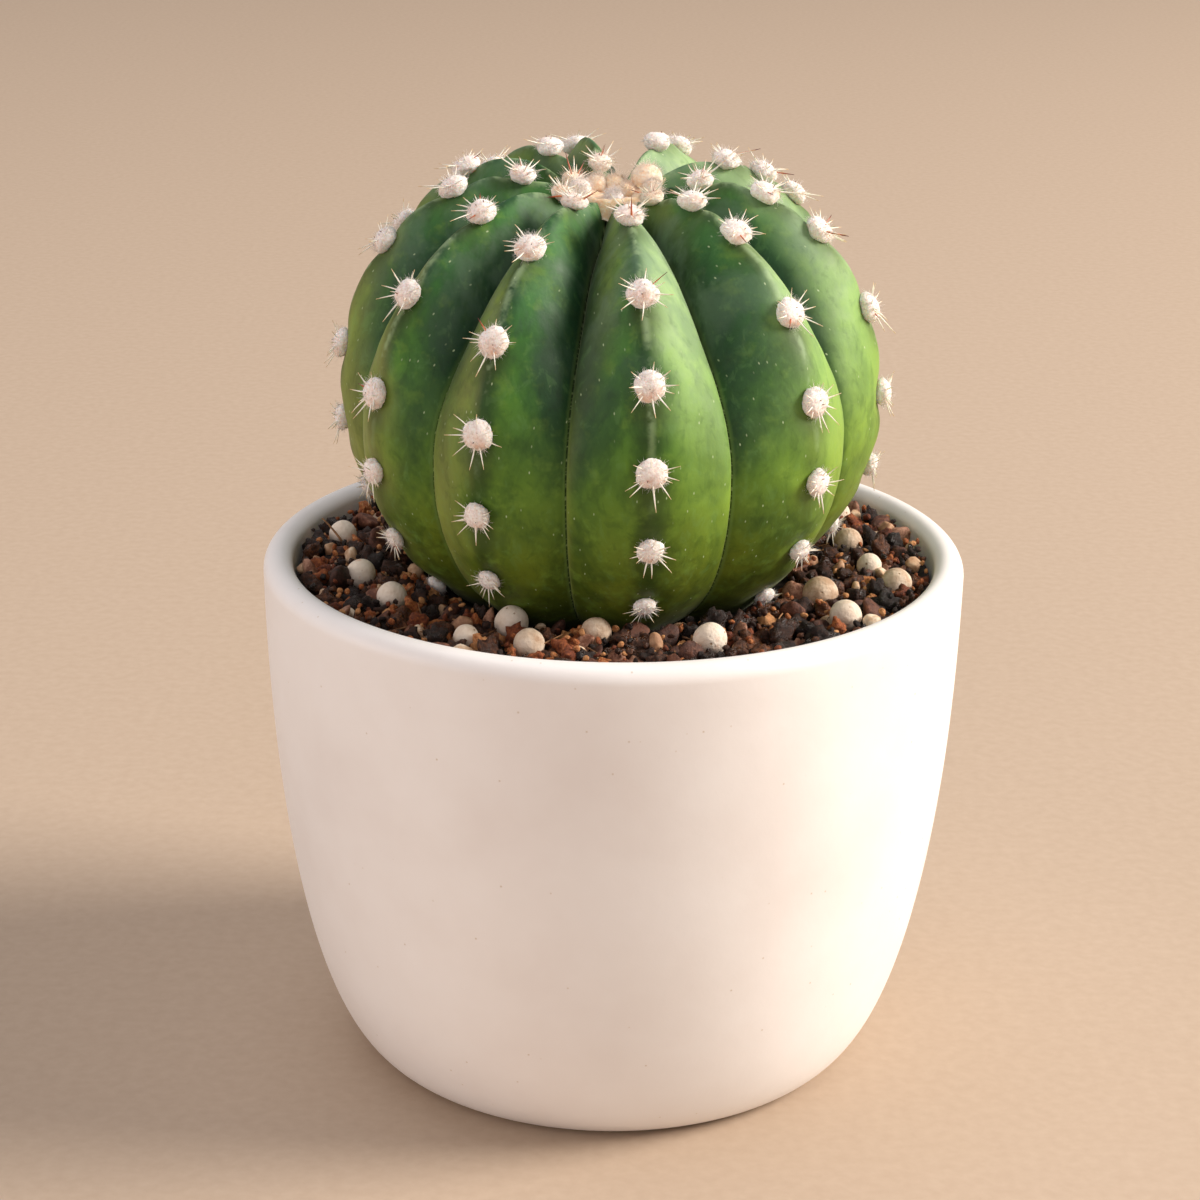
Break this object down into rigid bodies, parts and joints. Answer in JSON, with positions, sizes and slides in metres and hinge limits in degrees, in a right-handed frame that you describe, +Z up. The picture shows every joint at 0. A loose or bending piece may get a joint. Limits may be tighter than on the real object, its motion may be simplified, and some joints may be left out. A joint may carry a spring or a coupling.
{
  "type": "potted domino cactus",
  "caption": "Ribbed globe cactus with woolly pads and short spines, growing in gritty mix in a plain white ceramic pot that tapers to a small foot.",
  "frame": {"origin": "middle of the pot's foot, on the surface that it stands on", "axes": "+Z up, -Y to the front, where the cactus leans"},
  "size_m": [0.1, 0.1, 0.133],
  "materials": {
    "glazed_white": "satin",
    "gritty_mix": "matte",
    "cactus_skin": "satin"
  },
  "bodies": {
    "root": {"pot": "glazed_white", "potting_mix": "gritty_mix", "cactus": "cactus_skin"}
  },
  "joints": []
}
